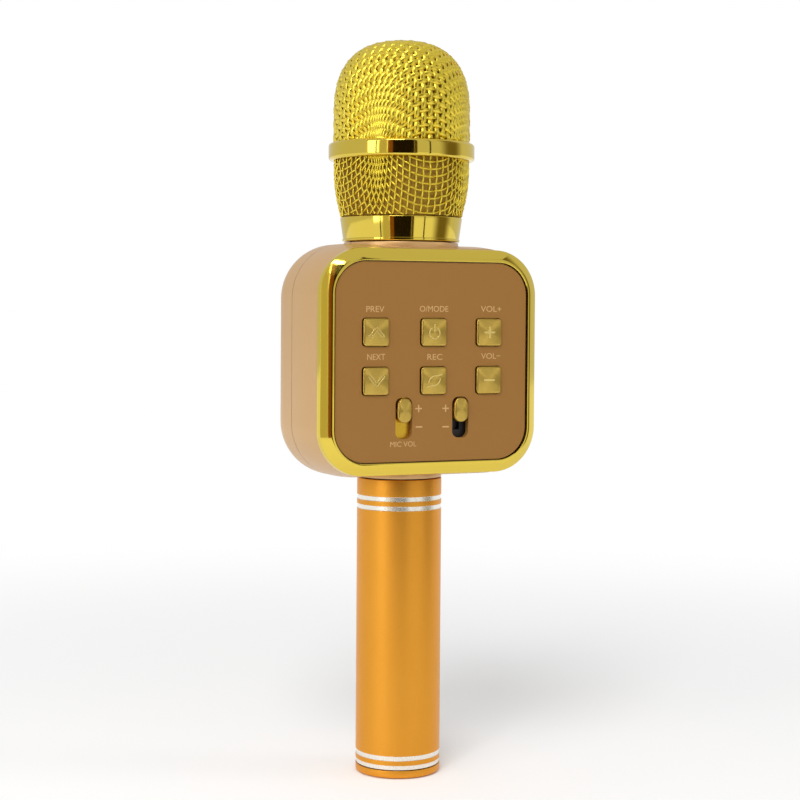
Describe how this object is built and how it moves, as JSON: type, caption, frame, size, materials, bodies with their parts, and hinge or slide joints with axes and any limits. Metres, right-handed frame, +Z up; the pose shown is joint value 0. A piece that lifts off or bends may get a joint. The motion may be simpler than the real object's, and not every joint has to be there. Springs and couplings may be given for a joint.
{
  "type": "karaoke microphone",
  "caption": "Handheld karaoke microphone with a wire-mesh head, a square control box with keys and sliders, a rear speaker and a tubular battery handle.",
  "frame": {"origin": "centre of the flat base of the handle", "axes": "+Z up along the handle towards the grille head, -Y towards the control face, +X to the right seen from the control face"},
  "size_m": [0.08, 0.0507, 0.2456],
  "materials": {
    "anodised_gold": "satin orange-gold anodised aluminium with bright-turned grooves",
    "chrome_gold": "polished yellow-gold plating",
    "champagne_paint": "satin metallic champagne paint",
    "panel_paint": "satin bronze-brown paint",
    "brushed_gold": "circular-brushed gold",
    "wire_gold": "gold-plated woven wire",
    "foam": "open-cell foam",
    "black_plastic": "moulded",
    "silicone": "matt",
    "board_green": "solder resist",
    "steel": "nickel-plated",
    "cell_wrap": "shrink film",
    "paper_cone": "pressed paper",
    "ferrite": "sintered ferrite"
  },
  "bodies": {
    "housing": {"end_cap": "anodised_gold", "handle_tube": "anodised_gold", "contact_spring": "steel", "battery_cell": "cell_wrap", "battery_sleeve": "black_plastic", "contact_plate": "steel", "handle_plug": "black_plastic", "front_shell": "champagne_paint", "rear_shell": "champagne_paint", "case_screw_1": "steel", "case_screw_2": "steel", "case_screw_3": "steel", "case_screw_4": "steel", "front_bezel": "chrome_gold", "front_panel": "panel_paint", "keypad": "silicone", "fader_left": "black_plastic", "fader_right": "black_plastic", "control_board": "board_green", "main_board": "board_green", "usb_socket": "steel", "card_socket": "steel", "audio_jack": "black_plastic", "speaker_frame": "steel", "speaker_cone": "paper_cone", "speaker_magnet": "ferrite", "speaker_grille": "chrome_gold", "grille_socket": "black_plastic", "capsule_stem": "black_plastic", "shock_mount": "silicone", "mic_capsule": "steel"},
    "grille_head": {"grille_collar": "chrome_gold", "grille_lower": "wire_gold", "grille_band": "chrome_gold", "grille_dome": "wire_gold", "foam_liner": "foam"},
    "key_prev": {"button_prev": "brushed_gold"},
    "key_mode": {"button_mode": "brushed_gold"},
    "key_volume_up": {"button_volume_up": "brushed_gold"},
    "key_next": {"button_next": "brushed_gold"},
    "key_record": {"button_record": "brushed_gold"},
    "key_volume_down": {"button_volume_down": "brushed_gold"},
    "left_slider": {"slider_knob_left": "brushed_gold"},
    "right_slider": {"slider_knob_right": "brushed_gold"}
  },
  "joints": [
    {"name": "head_lift", "type": "slide", "parent": "housing", "child": "grille_head", "axis": [0, 0, 1], "range_m": [0, 0.05]},
    {"name": "press_prev", "type": "slide", "parent": "housing", "child": "key_prev", "axis": [0, 1, 0], "range_m": [0, 0.0006], "stiffness_N_per_m": 200, "springref_m": -0.001},
    {"name": "press_mode", "type": "slide", "parent": "housing", "child": "key_mode", "axis": [0, 1, 0], "range_m": [0, 0.0006], "stiffness_N_per_m": 200, "springref_m": -0.001},
    {"name": "press_volume_up", "type": "slide", "parent": "housing", "child": "key_volume_up", "axis": [0, 1, 0], "range_m": [0, 0.0006], "stiffness_N_per_m": 200, "springref_m": -0.001},
    {"name": "press_next", "type": "slide", "parent": "housing", "child": "key_next", "axis": [0, 1, 0], "range_m": [0, 0.0006], "stiffness_N_per_m": 200, "springref_m": -0.001},
    {"name": "press_record", "type": "slide", "parent": "housing", "child": "key_record", "axis": [0, 1, 0], "range_m": [0, 0.0006], "stiffness_N_per_m": 200, "springref_m": -0.001},
    {"name": "press_volume_down", "type": "slide", "parent": "housing", "child": "key_volume_down", "axis": [0, 1, 0], "range_m": [0, 0.0006], "stiffness_N_per_m": 200, "springref_m": -0.001},
    {"name": "slide_left", "type": "slide", "parent": "housing", "child": "left_slider", "axis": [0, 0, 1], "range_m": [-0.0049, 0]},
    {"name": "slide_right", "type": "slide", "parent": "housing", "child": "right_slider", "axis": [0, 0, 1], "range_m": [-0.0049, 0]}
  ]
}
